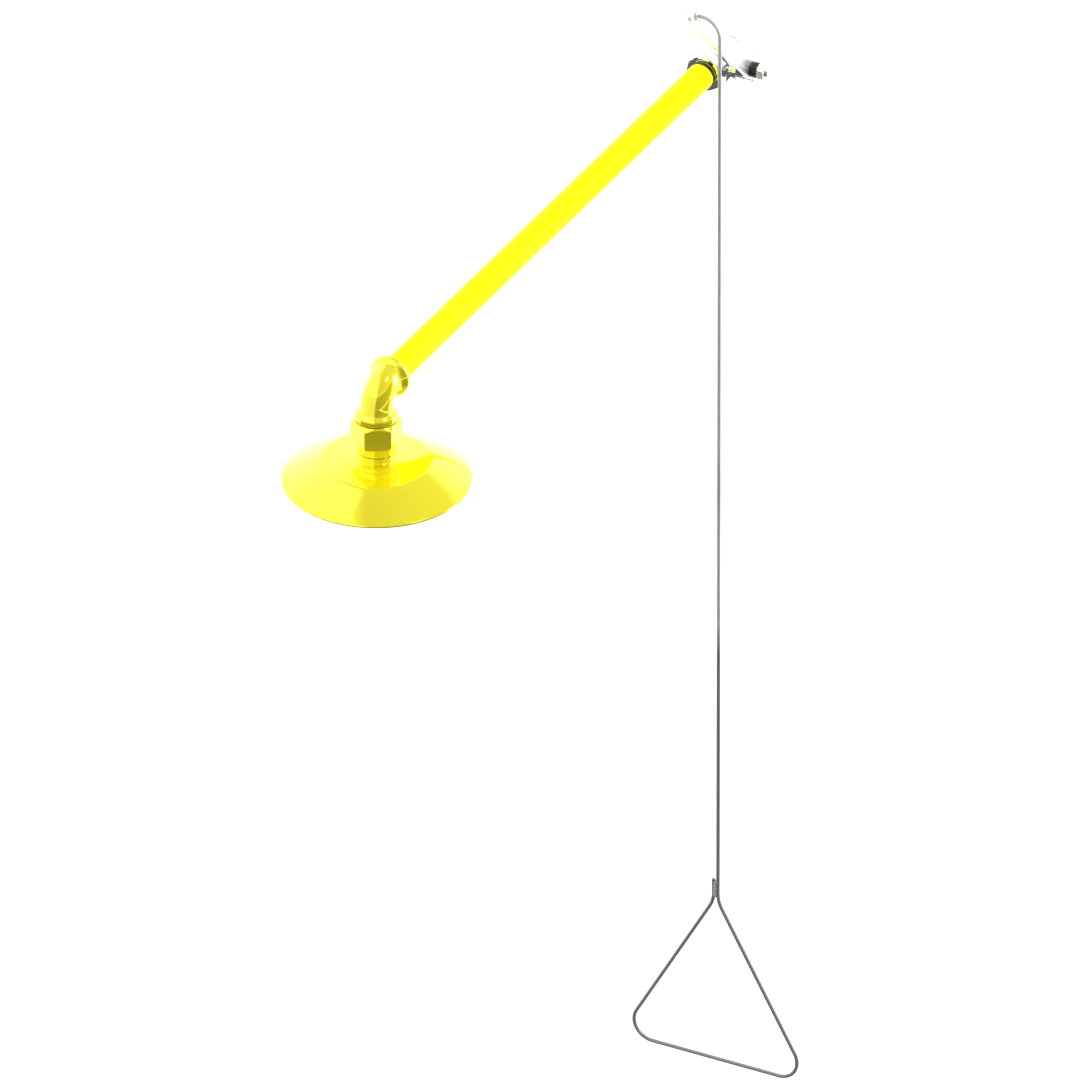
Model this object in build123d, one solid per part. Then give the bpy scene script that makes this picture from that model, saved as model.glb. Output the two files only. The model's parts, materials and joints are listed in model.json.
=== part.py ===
from build123d import *
import math
import os

# Overhead emergency drench shower: a quarter-turn ball valve, a straight pipe arm, an elbow,
# a bell-shaped head, and a bent pull rod that ends in a triangular handle.
# Millimetres. Origin at the centre of the valve's inlet mouth, +Y out of the inlet towards the
# supply, +X towards the lever side, +Z up. The shower reaches out along -Y and hangs down along -Z.

# ---------------------------------------------------------------- pipe and threads
PIPE_R = 16.7             # 1 inch schedule 40
PIPE_BORE_R = 13.3
SOCKET_R = 15.8           # wall of a tapped 1 inch pipe socket
THREAD_R = 15.75          # threaded pipe end seated in a socket
SOCKET_DEPTH = 17.0
EXPOSED_THREAD = 7.0      # thread left showing between the valve and the pipe's coating
SEALANT_R = 16.9

# ---------------------------------------------------------------- valve (h = distance from the mouth)
VALVE_LENGTH = 76.0
STEM_H = 38.0             # stem axis
BARREL_R = 27.0
TAIL_HEX_AF = 44.0
TAIL_HEX_H = 14.0
TAIL_FLANGE_R = 25.5
TAIL_FLANGE_H = 17.0
TAIL_SEAL = 1.2           # thickness of the ring between end piece and body
SPIGOT_R = 22.0
SPIGOT_BORE_R = SPIGOT_R + 0.05
SPIGOT_END_H = 28.5
OUTLET_HEX_AF = 46.0
OUTLET_HEX_H = 60.0
CAVITY_R = 20.0
PORT_R = 12.5
BALL_R = 19.0
BALL_GAP = 0.3            # ball to seat
SEAT_IN_R = 13.0
SEAT_OUT_R = 18.8
SEAT_NEAR = 8.0           # seat's faces, measured along the pipe from the ball's centre
SEAT_FAR = 17.0

# ---------------------------------------------------------------- stem and lever stack (x stations)
PAD_R = 20.5
PAD_X = 34.0
STEM_R = 7.0
STEM_BORE_R = 7.08
STEM_THREAD_R = 6.0
STEM_FLAT = 4.6           # half the width across the flats that drive the arm
SHOULDER_R = 9.0
SHOULDER_X = 19.9
SHOULDER_TOP_X = 22.2
THRUST_TOP_X = 23.0
GLAND_R = 10.0
GLAND_X = 25.0
PACKING_TOP_X = 30.5
PACKING_NUT_AF = 24.0
PACKING_NUT_TOP_X = 40.8
ARM_X = 42.0
ARM_THICK = 5.0
ARM_WIDTH = 25.0
ARM_CORNER_R = 9.0
ARM_TAIL = 16.0           # arm beyond the rod's hole
COLLAR_R = 9.75
COLLAR_TOP_X = 55.0
WASHER_TOP_X = 56.6
LEVER_NUT_AF = 19.0
LEVER_NUT_TOP_X = 65.6
STEM_END_X = 69.0
STOP_RING_R = 17.6        # the cast stops' distance from the stem axis
STOP_R = 2.4
STOP_GAP = 0.3            # arm to stop at either end of its quarter turn
TANG_HALF = 3.0           # half thickness of the tang that turns the ball
TANG_DEPTH_X = 14.5

# ---------------------------------------------------------------- rod hole, bush and rod
HOLE_Y = -182.0           # arm's end hole with the valve shut
HOLE_Z = 150.0
ROD_R = 2.38              # 3/16 inch bar
BUSH_BORE_R = 2.46
BUSH_R = 4.0
BUSH_HOLE_R = 4.03
BUSH_FLANGE_R = 6.5
ROD_LEG_END_X = 34.5
ROD_X = 78.0              # the hanging shank
TOP_BEND_R = 24.0
HANDLE_SIDE = 260.0       # triangle's side between virtual corners
HANDLE_BASE_Z = -1318.0
HANDLE_CORNER_R = 25.0
HANDLE_NECK_R = 40.0      # where shank and free end turn into the sides
ROD_PAIR_GAP = 6.0        # shank to free end, centre to centre
FREE_END_Z = -1062.0
WELD_LENGTH = 24.0

# ---------------------------------------------------------------- elbow and head
ELBOW_Y = -915.0
ELBOW_REACH = 39.4
ELBOW_BAND_R = 26.2
ELBOW_BAND = 12.0
ELBOW_R = 19.5
ADAPTER_HEX_AF = 55.0
ADAPTER_TURN = 27.9       # a flat faces this far round from -Y towards +X
ADAPTER_HEX_TOP = 40.4    # depths below the pipe's axis from here on
ADAPTER_HEX_END = 70.0
ADAPTER_COLLAR_R = 24.0
ADAPTER_BORE_R = 11.0
NECK_R = 24.0
NECK_TOP = 84.0
NECK_THREAD_R = 15.0
NECK_BORE_R = 15.06
ADAPTER_END = 95.5
HUB_TAPER = 90.0          # the bell's hub narrows from here to its foot on the crown
HUB_FOOT_R = 21.5
CROWN_TOP = 95.0
CREASE_R = 67.0
CREASE = 98.8
RIM_R = 114.5
RIM = 124.0
LIP_END = 126.0
WALL = 3.3
PLATE_R = 108.6
LEDGE_R = 104.6
LEDGE = 120.9
PLATE_TOP = 121.7
PLATE_THICK = 1.5
SCREW_RING_R = 97.0
BOSS_R = 22.0
BOSS_END = 105.0
WEB_TOP = 102.0
REGULATOR_R = 14.9
SPREADER_R = 34.0
SPREADER_TOP = 110.5
SPREADER_THICK = 2.0
SPREADER_SCREW_RING = 18.5


def lathe(points):
    """Solid of revolution about Z from (radius, z) corners."""
    outline = [(r, 0, z) for r, z in points]
    face = make_face(Polyline(*outline, close=True))
    return revolve(face, Axis.Z, 360)


def ring(r_in, r_out, low, high):
    return lathe([(r_in, low), (r_out, low), (r_out, high), (r_in, high)])


def rod(radius, low, high):
    return Pos(0, 0, low) * Cylinder(radius, high - low, align=(Align.CENTER, Align.CENTER, Align.MIN))


def hexagon(across_flats, low, high):
    outline = RegularPolygon(across_flats / 2, 6, major_radius=False)
    return Pos(0, 0, low) * extrude(outline, high - low)


def nut_blank(across_flats, low, high, chamfer_low=True, chamfer_high=True):
    """Hexagon whose corners are turned off at 30 degrees, as on a machined nut."""
    corner = across_flats / math.sqrt(3)
    flat = across_flats / 2 * 0.97
    drop = (corner - flat) * math.tan(math.radians(30))
    outline = [(0, low)]
    if chamfer_low:
        outline += [(flat, low), (corner + 0.1, low + drop)]
    else:
        outline += [(corner + 0.1, low)]
    if chamfer_high:
        outline += [(corner + 0.1, high - drop), (flat, high)]
    else:
        outline += [(corner + 0.1, high)]
    outline += [(0, high)]
    return hexagon(across_flats, low, high) & lathe(outline)


def along_pipe(shape):
    """A shape made along Z, with z as the distance from the mouth, laid along -Y."""
    return Rot(90, 0, 0) * shape


def along_stem(shape):
    """A shape made along Z, with z as the x station, laid along the stem."""
    return Pos(0, -STEM_H, 0) * Rot(0, 90, 0) * shape


def below_elbow(shape):
    """A shape made about Z with its depths negative, put on the head's axis."""
    return Pos(0, ELBOW_Y, 0) * shape


def depths(points):
    return [(r, -d) for r, d in points]


# ---------------------------------------------------------------- valve
def valve_body():
    seal_h = TAIL_FLANGE_H + TAIL_SEAL
    barrel = lathe([
        (0, seal_h), (BARREL_R - 2.5, seal_h), (BARREL_R, seal_h + 2.5),
        (BARREL_R, OUTLET_HEX_H - 3), (BARREL_R - 3, OUTLET_HEX_H), (0, OUTLET_HEX_H)])
    outlet = Rot(0, 0, 30) * nut_blank(OUTLET_HEX_AF, OUTLET_HEX_H, VALVE_LENGTH, chamfer_low=False)
    pad = along_stem(lathe([(0, 10), (PAD_R, 10), (PAD_R, PAD_X - 1.5), (PAD_R - 1.5, PAD_X), (0, PAD_X)]))
    body = along_pipe(barrel + outlet) + pad
    stop_top = ARM_X + ARM_THICK
    stop = lathe([
        (0, PAD_X - 4), (STOP_R, PAD_X - 4), (STOP_R, stop_top - 0.8),
        (STOP_R - 0.8, stop_top), (0, stop_top)])
    clear = math.asin((ARM_WIDTH / 2 + STOP_R + STOP_GAP) / STOP_RING_R)
    shut = math.atan2(HOLE_Z, HOLE_Y + STEM_H)
    for angle in (shut - clear, shut + math.pi / 2 + clear):
        body += Pos(0, STOP_RING_R * math.cos(angle), STOP_RING_R * math.sin(angle)) * along_stem(stop)
    water_way = lathe([
        (0, seal_h - 1), (SPIGOT_BORE_R, seal_h - 1), (SPIGOT_BORE_R, SPIGOT_END_H),
        (CAVITY_R, SPIGOT_END_H),
        (CAVITY_R, STEM_H + SEAT_NEAR), (SEAT_OUT_R, STEM_H + SEAT_NEAR),
        (SEAT_OUT_R, STEM_H + SEAT_FAR), (PORT_R, STEM_H + SEAT_FAR),
        (PORT_R, VALVE_LENGTH - SOCKET_DEPTH), (SOCKET_R, VALVE_LENGTH - SOCKET_DEPTH),
        (SOCKET_R, VALVE_LENGTH + 1), (0, VALVE_LENGTH + 1)])
    stem_way = lathe([
        (0, 10), (SHOULDER_R + 0.1, 10), (SHOULDER_R + 0.1, THRUST_TOP_X), (STEM_BORE_R, THRUST_TOP_X),
        (STEM_BORE_R, GLAND_X), (GLAND_R, GLAND_X), (GLAND_R, PAD_X + 1), (0, PAD_X + 1)])
    body -= along_pipe(rod(2 * BARREL_R, 0, seal_h))
    return body - along_pipe(water_way) - along_stem(stem_way)


def valve_tailpiece():
    blank = nut_blank(TAIL_HEX_AF, 0, TAIL_HEX_H, chamfer_high=False)
    blank += ring(SOCKET_R, TAIL_FLANGE_R, TAIL_HEX_H, TAIL_FLANGE_H)
    blank += ring(SOCKET_R, SPIGOT_R, TAIL_FLANGE_H, SPIGOT_END_H)
    blank += ring(PORT_R, SOCKET_R + 1, SOCKET_DEPTH + 1, STEM_H - SEAT_FAR)
    bore = lathe([
        (0, -1), (SOCKET_R, -1), (SOCKET_R, SOCKET_DEPTH + 1), (PORT_R, SOCKET_DEPTH + 1),
        (PORT_R, STEM_H - SEAT_FAR), (SEAT_OUT_R, STEM_H - SEAT_FAR),
        (SEAT_OUT_R, SPIGOT_END_H + 1), (0, SPIGOT_END_H + 1)])
    return along_pipe(blank - bore)


def tailpiece_seal():
    return along_pipe(ring(SPIGOT_R, TAIL_FLANGE_R - 1.5, TAIL_FLANGE_H, TAIL_FLANGE_H + TAIL_SEAL))


def ball_seat(side):
    """Seat ring with a spherical face; side is -1 towards the inlet, +1 towards the outlet."""
    blank = ring(SEAT_IN_R, SEAT_OUT_R, SEAT_NEAR, SEAT_FAR) - Sphere(BALL_R + BALL_GAP)
    if side < 0:
        blank = Rot(180, 0, 0) * blank
    return along_pipe(Pos(0, 0, STEM_H) * blank)


def valve_ball():
    """Shut: the ball's bore stands across the pipe, along Z. Its slot takes the stem's tang."""
    ball = Sphere(BALL_R) - Cylinder(PORT_R, 3 * BALL_R)
    slot = Pos(BALL_R, 0, 0) * Box(2 * (BALL_R - TANG_DEPTH_X), 2 * TANG_HALF + 0.1, 3 * BALL_R)
    return Pos(0, -STEM_H, 0) * (ball - slot)


def valve_stem():
    tang_width = 11.0
    stem = lathe([
        (0, SHOULDER_X), (SHOULDER_R, SHOULDER_X), (SHOULDER_R, SHOULDER_TOP_X), (STEM_R, SHOULDER_TOP_X),
        (STEM_R, ARM_X), (STEM_THREAD_R, ARM_X), (STEM_THREAD_R, STEM_END_X - 1),
        (STEM_THREAD_R - 1, STEM_END_X), (0, STEM_END_X)])
    tang = Pos(0, 0, (TANG_DEPTH_X + SHOULDER_X) / 2 + 0.3) * Box(
        tang_width, 2 * TANG_HALF, SHOULDER_X - TANG_DEPTH_X)
    waist = Pos(0, 0, ARM_X + ARM_THICK / 2)
    for side in (1, -1):
        stem -= waist * Pos(0, side * (STEM_FLAT + 5), 0) * Box(30, 10, ARM_THICK)
    return along_stem(stem + tang)


def stem_packing():
    middle = (GLAND_X + PACKING_TOP_X) / 2
    lower = ring(STEM_BORE_R, GLAND_R - 0.02, GLAND_X, middle - 0.1)
    upper = ring(STEM_BORE_R, GLAND_R - 0.02, middle + 0.1, PACKING_TOP_X)
    return along_stem(Compound(children=[lower, upper]))


def packing_nut():
    nut = nut_blank(PACKING_NUT_AF, PAD_X, PACKING_NUT_TOP_X, chamfer_low=False)
    nut += rod(GLAND_R - 0.05, PACKING_TOP_X, PAD_X)
    return along_stem(nut - rod(STEM_BORE_R, PACKING_TOP_X - 1, PACKING_NUT_TOP_X + 1))


def hex_nut(across_flats, bore_r, low, high):
    return along_stem(nut_blank(across_flats, low, high) - rod(bore_r, low - 1, high + 1))


def lock_washer(low, high):
    """Split spring washer."""
    washer = ring(STEM_THREAD_R + 0.1, COLLAR_R - 0.6, low, high)
    split = Pos(0, COLLAR_R - 2, (low + high) / 2) * Rot(0, 25, 0) * Box(1.2, 6, 6)
    return along_stem(washer - split)


# ---------------------------------------------------------------- lever arm
def lever_arm():
    reach_y = HOLE_Y + STEM_H
    reach = math.hypot(reach_y, HOLE_Z)
    tilt = math.atan2(HOLE_Z, reach_y)
    bar = Pos((reach + ARM_TAIL) / 2, 0) * Rectangle(reach + ARM_TAIL, ARM_WIDTH)
    outline = fillet(bar.vertices().sort_by(Axis.X)[-2:], ARM_CORNER_R) + Circle(ARM_WIDTH / 2)
    key_hole = Circle(STEM_THREAD_R + 0.04)
    for side in (1, -1):
        key_hole -= Pos(0, side * (STEM_FLAT + 5.04)) * Rectangle(30, 10)
    outline = outline - Rot(0, 0, 90 - math.degrees(tilt)) * key_hole - Pos(reach, 0) * Circle(BUSH_HOLE_R)
    arm = extrude(outline, ARM_THICK)
    edges = arm.edges().filter_by(GeomType.LINE).filter_by(Axis.X)
    arm = chamfer(edges, 0.5)
    plane = Plane(origin=(ARM_X, -STEM_H, 0), x_dir=(0, math.cos(tilt), math.sin(tilt)), z_dir=(1, 0, 0))
    return plane.location * arm


def on_rod_leg(shape):
    return Pos(0, HOLE_Y, HOLE_Z) * Rot(0, 90, 0) * shape


def rod_bush():
    far = ARM_X + ARM_THICK + 0.3
    sleeve = ring(BUSH_BORE_R, BUSH_R, ARM_X - 0.7, far)
    flange = lathe([
        (BUSH_BORE_R, far), (BUSH_FLANGE_R, far), (BUSH_FLANGE_R, far + 0.7),
        (BUSH_FLANGE_R - 0.4, far + 1.1), (BUSH_BORE_R, far + 1.1)])
    return on_rod_leg(sleeve + flange)


# ---------------------------------------------------------------- pull rod
def rod_path():
    half = HANDLE_SIDE / 2
    apex_z = HANDLE_BASE_Z + HANDLE_SIDE * math.sqrt(3) / 2
    middle_x = ROD_X - ROD_PAIR_GAP / 2
    corners = [
        (ROD_LEG_END_X, HOLE_Z),
        (ROD_X, HOLE_Z),
        (ROD_X, apex_z),
        (middle_x + half, HANDLE_BASE_Z),
        (middle_x - half, HANDLE_BASE_Z),
        (ROD_X - ROD_PAIR_GAP, apex_z),
        (ROD_X - ROD_PAIR_GAP, FREE_END_Z)]
    radii = [TOP_BEND_R, HANDLE_NECK_R, HANDLE_CORNER_R, HANDLE_CORNER_R, HANDLE_NECK_R]
    return FilletPolyline(*[(x, HOLE_Y, z) for x, z in corners], radius=radii)


def pull_rod():
    path = rod_path()
    section = Plane(origin=path @ 0, z_dir=path % 0) * Circle(ROD_R)
    bar = sweep(section, path)
    pin_hole = Pos(ROD_LEG_END_X + 3.5, HOLE_Y, HOLE_Z) * Cylinder(0.85, 12)
    return bar - pin_hole


def handle_weld(bar):
    """Bead in the groove between the shank and the free end that closes the triangle."""
    length = WELD_LENGTH / 2
    bead = lathe([
        (0, -length), (1.6, -length + 0.6), (2.7, -length + 3),
        (2.7, length - 3), (1.6, length - 0.6), (0, length)])
    place = Pos(ROD_X - ROD_PAIR_GAP / 2, HOLE_Y, FREE_END_Z - WELD_LENGTH / 2 - 2)
    return place * bead - bar


def rod_washers():
    outer_low = ARM_X + ARM_THICK + 1.5
    outer = ring(BUSH_BORE_R, 5.2, outer_low, outer_low + 1)
    inner = ring(BUSH_BORE_R, 5.2, ARM_X - 1.9, ARM_X - 0.9)
    return on_rod_leg(Compound(children=[outer, inner]))


def cotter_pin():
    """Split pin through the leg: two half-round legs, an eye, and a splayed tail."""
    leg_x = ROD_LEG_END_X + 3.5
    wire = 0.75
    top = HOLE_Z + 3.2
    shank = Pos(leg_x, HOLE_Y, HOLE_Z - 1.4) * Cylinder(wire, 9.2)
    eye = Pos(leg_x, HOLE_Y, top + 1.6) * Rot(0, 90, 0) * Torus(1.7, wire * 0.8)
    tail_path = Polyline((leg_x, HOLE_Y, HOLE_Z - 5.6), (leg_x, HOLE_Y - 2.2, HOLE_Z - 8.2))
    tail = sweep(Plane(origin=tail_path @ 0, z_dir=tail_path % 0) * Circle(wire * 0.8), tail_path)
    return shank + eye + tail


# ---------------------------------------------------------------- pipe run
PIPE_START_H = VALVE_LENGTH - SOCKET_DEPTH + 0.5
COAT_START_H = VALVE_LENGTH + EXPOSED_THREAD
ELBOW_FACE_H = -ELBOW_Y - ELBOW_REACH
PIPE_END_H = ELBOW_FACE_H + SOCKET_DEPTH - 1


def supply_pipe():
    return along_pipe(lathe([
        (PIPE_BORE_R, PIPE_START_H), (THREAD_R, PIPE_START_H), (THREAD_R, COAT_START_H),
        (PIPE_R, COAT_START_H), (PIPE_R, ELBOW_FACE_H - 0.6), (THREAD_R, ELBOW_FACE_H - 0.6),
        (THREAD_R, PIPE_END_H), (PIPE_BORE_R, PIPE_END_H)]))


def valve_joint_sealant():
    return along_pipe(ring(THREAD_R, SEALANT_R, VALVE_LENGTH, COAT_START_H))


def elbow_joint_sealant():
    return along_pipe(ring(THREAD_R, PIPE_R + 1.2, ELBOW_FACE_H - 0.6, ELBOW_FACE_H))


def head_joint_sealant():
    return below_elbow(ring(THREAD_R, PIPE_R + 0.6, -ADAPTER_HEX_TOP, -ELBOW_REACH))


def elbow():
    bend = ELBOW_REACH - ELBOW_BAND
    centre_y = ELBOW_Y + bend
    arc = ThreePointArc(
        (0, centre_y, 0),
        (0, centre_y - bend * math.sin(math.radians(45)), -bend * (1 - math.cos(math.radians(45)))),
        (0, ELBOW_Y, -bend))
    start = Plane(origin=arc @ 0, z_dir=arc % 0)
    shell = sweep(start * Circle(ELBOW_R), arc)
    band = lathe([
        (0, 0), (ELBOW_R, 0), (ELBOW_R + 2.5, 0.4), (ELBOW_BAND_R - 1.2, 2.2), (ELBOW_BAND_R, 3.8),
        (ELBOW_BAND_R, ELBOW_BAND - 1), (ELBOW_BAND_R - 1, ELBOW_BAND), (0, ELBOW_BAND)])
    socket = rod(SOCKET_R, ELBOW_BAND - SOCKET_DEPTH, ELBOW_BAND + 1)
    inlet = Plane(origin=(0, centre_y, 0), z_dir=(0, 1, 0)).location
    outlet = Plane(origin=(0, ELBOW_Y, -bend), z_dir=(0, 0, -1)).location
    body = shell + inlet * band + outlet * band
    body -= sweep(start * Circle(PIPE_BORE_R), arc)
    return body - inlet * socket - outlet * socket


# ---------------------------------------------------------------- head
def head_adapter():
    hexagon_cut = lathe(depths([
        (0, ADAPTER_HEX_TOP), (26.4, ADAPTER_HEX_TOP), (32.2, ADAPTER_HEX_TOP + 5),
        (32.2, ADAPTER_HEX_END - 1.2), (30.6, ADAPTER_HEX_END), (0, ADAPTER_HEX_END)]))
    turn = Rot(0, 0, ADAPTER_TURN)
    blank = turn * hexagon(ADAPTER_HEX_AF, -ADAPTER_HEX_END, -ADAPTER_HEX_TOP) & hexagon_cut
    spigot_top = ELBOW_REACH - SOCKET_DEPTH + 1
    blank += rod(THREAD_R, -ADAPTER_HEX_TOP, -spigot_top)
    blank += lathe(depths([
        (0, ADAPTER_HEX_END), (ADAPTER_COLLAR_R, ADAPTER_HEX_END), (ADAPTER_COLLAR_R, NECK_TOP - 1),
        (NECK_THREAD_R, NECK_TOP - 1),
        (NECK_THREAD_R, ADAPTER_END), (0, ADAPTER_END)]))
    return below_elbow(blank - rod(ADAPTER_BORE_R, -ADAPTER_END - 1, -spigot_top + 1))


def neck_gasket():
    return below_elbow(ring(NECK_BORE_R, NECK_R - 0.6, -NECK_TOP, -NECK_TOP + 1))


def on_circle(count, radius, first=0.0):
    angles = [first + 2 * math.pi * i / count for i in range(count)]
    return [Pos(radius * math.cos(a), radius * math.sin(a), 0) for a in angles]


def at(radius, depth):
    return (radius, 0, -depth)


def head_outer():
    """The bell's outer skin filled down to the rim: tapered hub, low crown, crease, shallow dome."""
    hub = Polyline(
        at(0, NECK_TOP), at(NECK_R, NECK_TOP), at(NECK_R, HUB_TAPER), at(HUB_FOOT_R, CROWN_TOP),
        at(CREASE_R, CREASE))
    dome_end_r = RIM_R - 1.4
    dome_end = RIM - 1.6
    dome = ThreePointArc(
        at(CREASE_R, CREASE), at((CREASE_R + dome_end_r) / 2 + 0.6, (CREASE + dome_end) / 2 - 1.2),
        at(dome_end_r, dome_end))
    lip = ThreePointArc(at(dome_end_r, dome_end), at(RIM_R, RIM), at(dome_end_r + 0.3, LIP_END))
    close = Polyline(at(dome_end_r + 0.3, LIP_END), at(0, LIP_END), at(0, NECK_TOP))
    outline = [edge for line in (hub, dome, lip, close) for edge in line.edges()]
    return revolve(make_face(Wire(outline)), Axis.Z, 360)


def head_bell():
    outer = head_outer()
    inside_crown = CROWN_TOP + WALL + 0.3
    inside_crease = CREASE + WALL + 0.3
    mouth = Polyline(
        at(0, LIP_END + 1), at(PLATE_R + 0.4, LIP_END + 1), at(PLATE_R + 0.4, LEDGE), at(LEDGE_R, LEDGE))
    dome = ThreePointArc(
        at(LEDGE_R, LEDGE), at((LEDGE_R + CREASE_R) / 2, (LEDGE + inside_crease) / 2 - 0.8),
        at(CREASE_R, inside_crease))
    top = Polyline(
        at(CREASE_R, inside_crease), at(BOSS_R, inside_crown), at(BOSS_R, BOSS_END),
        at(0, BOSS_END), at(0, LIP_END + 1))
    hollow = revolve(make_face(Wire(mouth.edges() + dome.edges() + top.edges())), Axis.Z, 360)
    shell = outer - hollow
    for place in on_circle(6, SCREW_RING_R):
        shell += place * rod(5.2, -PLATE_TOP, -100) & outer
    shell -= lathe(depths([
        (0, NECK_TOP - 1), (NECK_BORE_R, NECK_TOP - 1), (NECK_BORE_R, WEB_TOP), (10, WEB_TOP),
        (10, BOSS_END + 1), (0, BOSS_END + 1)]))
    for place in on_circle(6, SCREW_RING_R):
        shell -= place * rod(1.95, -PLATE_TOP - 1, -116.5)
    for place in on_circle(3, SPREADER_SCREW_RING):
        shell -= place * rod(1.55, -BOSS_END - 1, -BOSS_END + 6.5)
    return below_elbow(shell)


def flow_regulator():
    """Disc with a ring of metering holes, resting on its seal above the neck's web."""
    disc = rod(REGULATOR_R, -WEB_TOP + 1.5, -ADAPTER_END - 0.2)
    disc -= rod(2.2, -WEB_TOP, -ADAPTER_END)
    for place in on_circle(8, 7.0):
        disc -= place * rod(1.6, -WEB_TOP, -ADAPTER_END)
    return below_elbow(disc)


def regulator_seal():
    return below_elbow(ring(11.4, REGULATOR_R, -WEB_TOP, -WEB_TOP + 1.5))


def spreader_disc():
    low = -SPREADER_TOP - SPREADER_THICK
    disc = rod(SPREADER_R, low, -SPREADER_TOP)
    for ring_r, count in ((10, 6), (27, 16)):
        for place in on_circle(count, ring_r, math.pi / count):
            disc -= place * rod(2.0, low - 1, -SPREADER_TOP + 1)
    for place in on_circle(3, SPREADER_SCREW_RING):
        disc += place * rod(3.2, -SPREADER_TOP, -BOSS_END)
        disc -= place * rod(1.6, low - 1, -BOSS_END + 1)
    return below_elbow(disc)


def pan_screw(head_r, head_top, shank_r, shank_top, head_height):
    """Cross-recess pan-head screw that enters upwards; levels are depths below the pipe's axis."""
    head = lathe(depths([
        (0, head_top), (head_r, head_top), (head_r, head_top + head_height * 0.5),
        (head_r * 0.6, head_top + head_height), (0, head_top + head_height)]))
    screw = head + rod(shank_r, -head_top, -shank_top)
    recess = Pos(0, 0, -head_top - head_height)
    for turn in (0, 90):
        screw -= recess * Rot(0, 0, turn) * Box(head_r * 1.0, head_r * 0.22, head_height * 0.9)
    return screw


def spreader_screws():
    screw = pan_screw(3.0, SPREADER_TOP + SPREADER_THICK, 1.5, BOSS_END - 6, 2.0)
    return below_elbow(Compound(children=[place * screw for place in on_circle(3, SPREADER_SCREW_RING)]))


def plate_gasket():
    return below_elbow(ring(LEDGE_R, PLATE_R, -PLATE_TOP, -LEDGE))


def spray_plate():
    face = Circle(PLATE_R)
    for k in range(1, 8):
        for place in on_circle(6 * k, 12.2 * k, 0.26 * k):
            face -= place * Circle(1.9)
    for place in on_circle(6, SCREW_RING_R):
        face -= place * Circle(2.1)
    return below_elbow(Pos(0, 0, -PLATE_TOP - PLATE_THICK) * extrude(face, PLATE_THICK))


def spray_plate_screws():
    screw = pan_screw(3.6, PLATE_TOP + PLATE_THICK, 1.85, 116.8, 2.2)
    return below_elbow(Compound(children=[place * screw for place in on_circle(6, SCREW_RING_R)]))


# ---------------------------------------------------------------- all the pieces
BAR = pull_rod()
PIECES = {
    "valve_body": valve_body(),
    "valve_tailpiece": valve_tailpiece(),
    "tailpiece_seal": tailpiece_seal(),
    "ball_seat_inlet": ball_seat(-1),
    "ball_seat_outlet": ball_seat(1),
    "stem_packing": stem_packing(),
    "packing_nut": packing_nut(),
    "supply_pipe": supply_pipe(),
    "valve_joint_sealant": valve_joint_sealant(),
    "elbow_joint_sealant": elbow_joint_sealant(),
    "head_joint_sealant": head_joint_sealant(),
    "elbow": elbow(),
    "head_adapter": head_adapter(),
    "neck_gasket": neck_gasket(),
    "flow_regulator": flow_regulator(),
    "regulator_seal": regulator_seal(),
    "head_bell": head_bell(),
    "spreader_disc": spreader_disc(),
    "spreader_screws": spreader_screws(),
    "plate_gasket": plate_gasket(),
    "spray_plate": spray_plate(),
    "spray_plate_screws": spray_plate_screws(),
    "valve_ball": valve_ball(),
    "valve_stem": valve_stem(),
    "stem_thrust_washer": along_stem(ring(STEM_R, SHOULDER_R, SHOULDER_TOP_X, THRUST_TOP_X - 0.08)),
    "lever_arm": lever_arm(),
    "lever_collar": along_stem(ring(STEM_THREAD_R, COLLAR_R, ARM_X + ARM_THICK, COLLAR_TOP_X)),
    "lever_lock_washer": lock_washer(COLLAR_TOP_X, WASHER_TOP_X),
    "lever_nut": hex_nut(LEVER_NUT_AF, STEM_THREAD_R, WASHER_TOP_X, LEVER_NUT_TOP_X),
    "rod_bush": rod_bush(),
    "pull_rod": BAR,
    "handle_weld": handle_weld(BAR),
    "rod_washers": rod_washers(),
    "cotter_pin": cotter_pin(),
}

os.makedirs("parts", exist_ok=True)
for name, piece in PIECES.items():
    export_step(piece, f"parts/{name}.step")
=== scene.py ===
import json
import math

import bmesh
import bpy
from mathutils import Matrix, Vector, noise


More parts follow.
